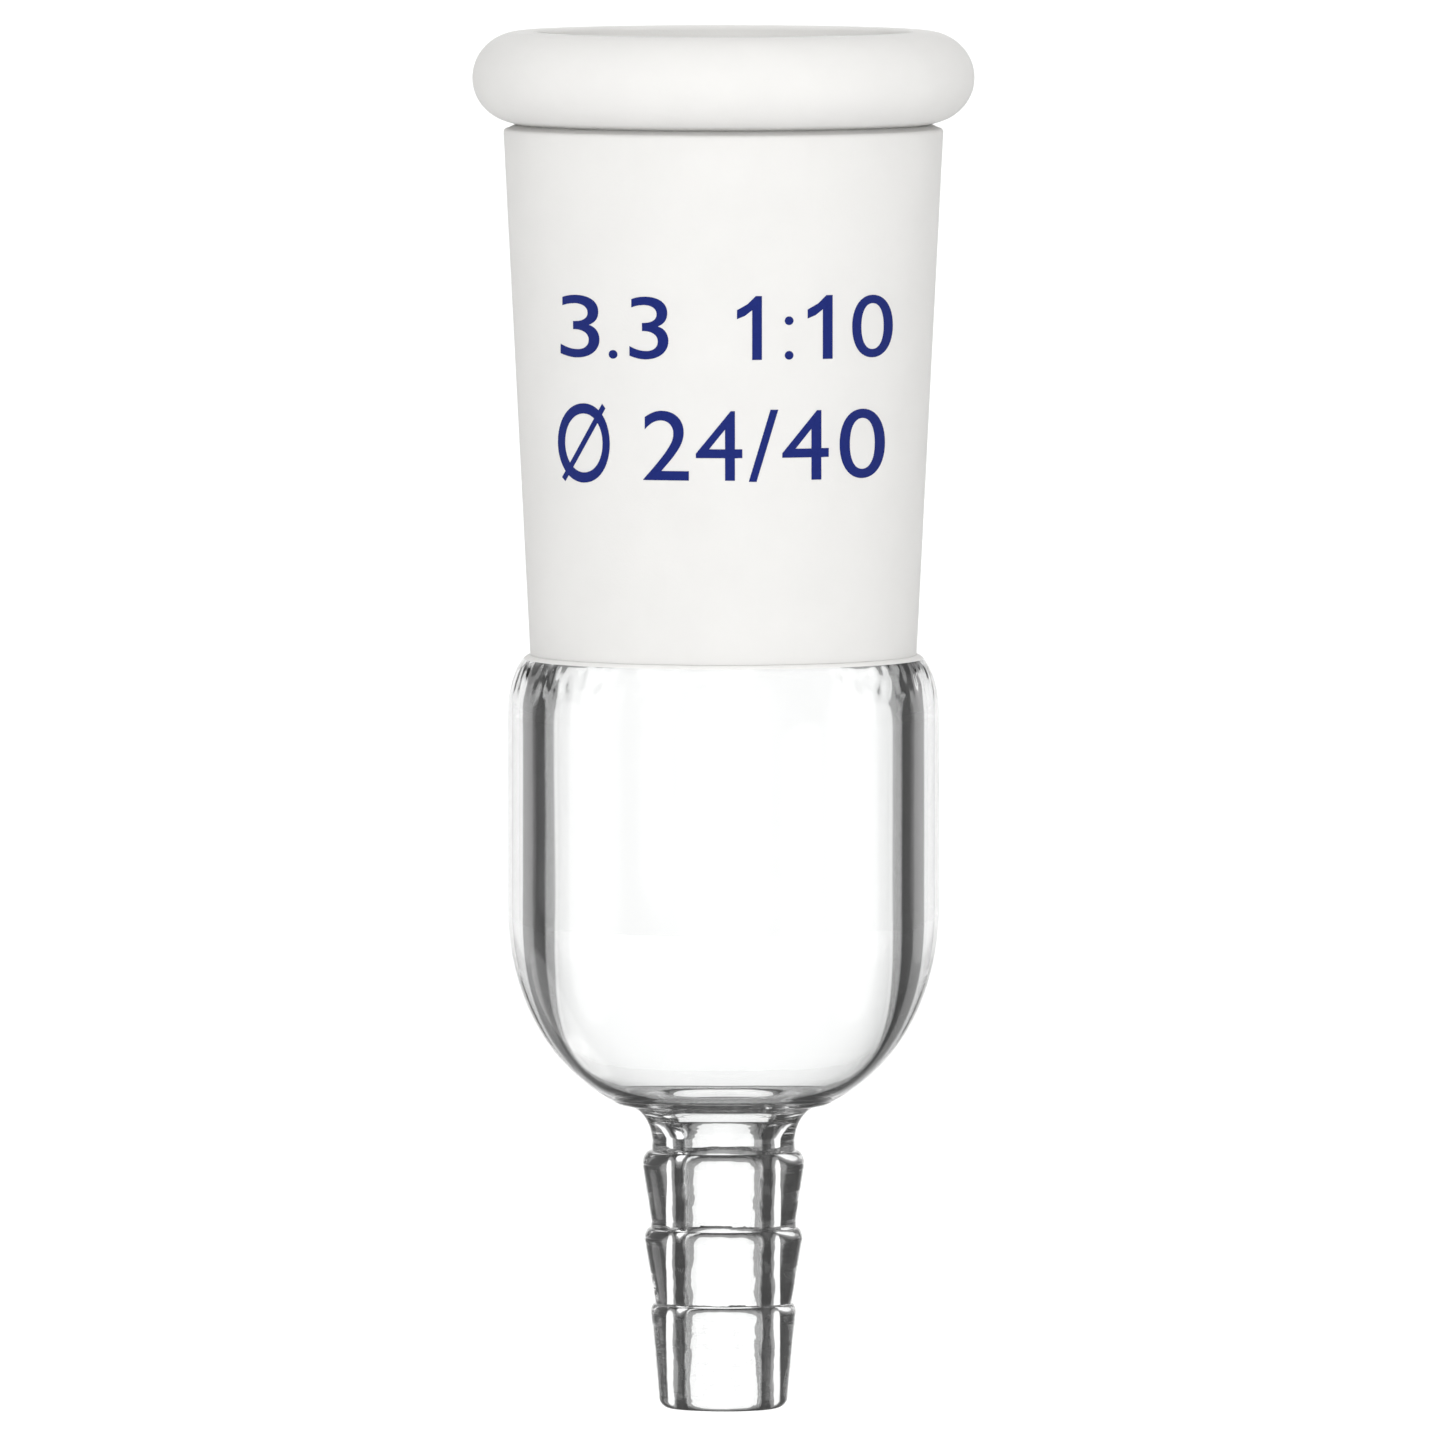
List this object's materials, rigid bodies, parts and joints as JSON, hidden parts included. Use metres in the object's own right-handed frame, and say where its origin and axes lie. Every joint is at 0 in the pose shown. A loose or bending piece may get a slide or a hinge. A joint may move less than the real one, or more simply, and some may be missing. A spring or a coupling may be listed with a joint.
{
  "type": "straight hose connection adapter",
  "caption": "Straight glass adapter: a tapered ground socket with a rolled rim bead, a round-bottomed clear tube and a barbed hose connection below.",
  "frame": {"origin": "centre of the ground socket's mouth, in the plane of its rim", "axes": "+Z along the glass's axis, out of the mouth, so the whole part lies below the origin and the hose connection points to -Z; -Y faces the side with the printed numbers, which read along +X"},
  "size_m": [0.0322, 0.0322, 0.0885],
  "materials": {
    "ground_glass": "frosted, fine ground",
    "clear_glass": "clear, fire polished",
    "navy_enamel": "fired ceramic print, satin"
  },
  "bodies": {
    "root": {"rim_bead": "ground_glass", "ground_socket": "ground_glass", "body_bulb": "clear_glass", "hose_neck": "clear_glass", "hose_barb": "clear_glass", "expansion_3_first": "navy_enamel", "expansion_point": "navy_enamel", "expansion_3_last": "navy_enamel", "taper_1_first": "navy_enamel", "taper_colon_low": "navy_enamel", "taper_colon_high": "navy_enamel", "taper_1_last": "navy_enamel", "taper_0": "navy_enamel", "diameter_sign": "navy_enamel", "size_2": "navy_enamel", "size_4_first": "navy_enamel", "size_slash": "navy_enamel", "size_4_last": "navy_enamel", "size_0": "navy_enamel"}
  },
  "joints": []
}
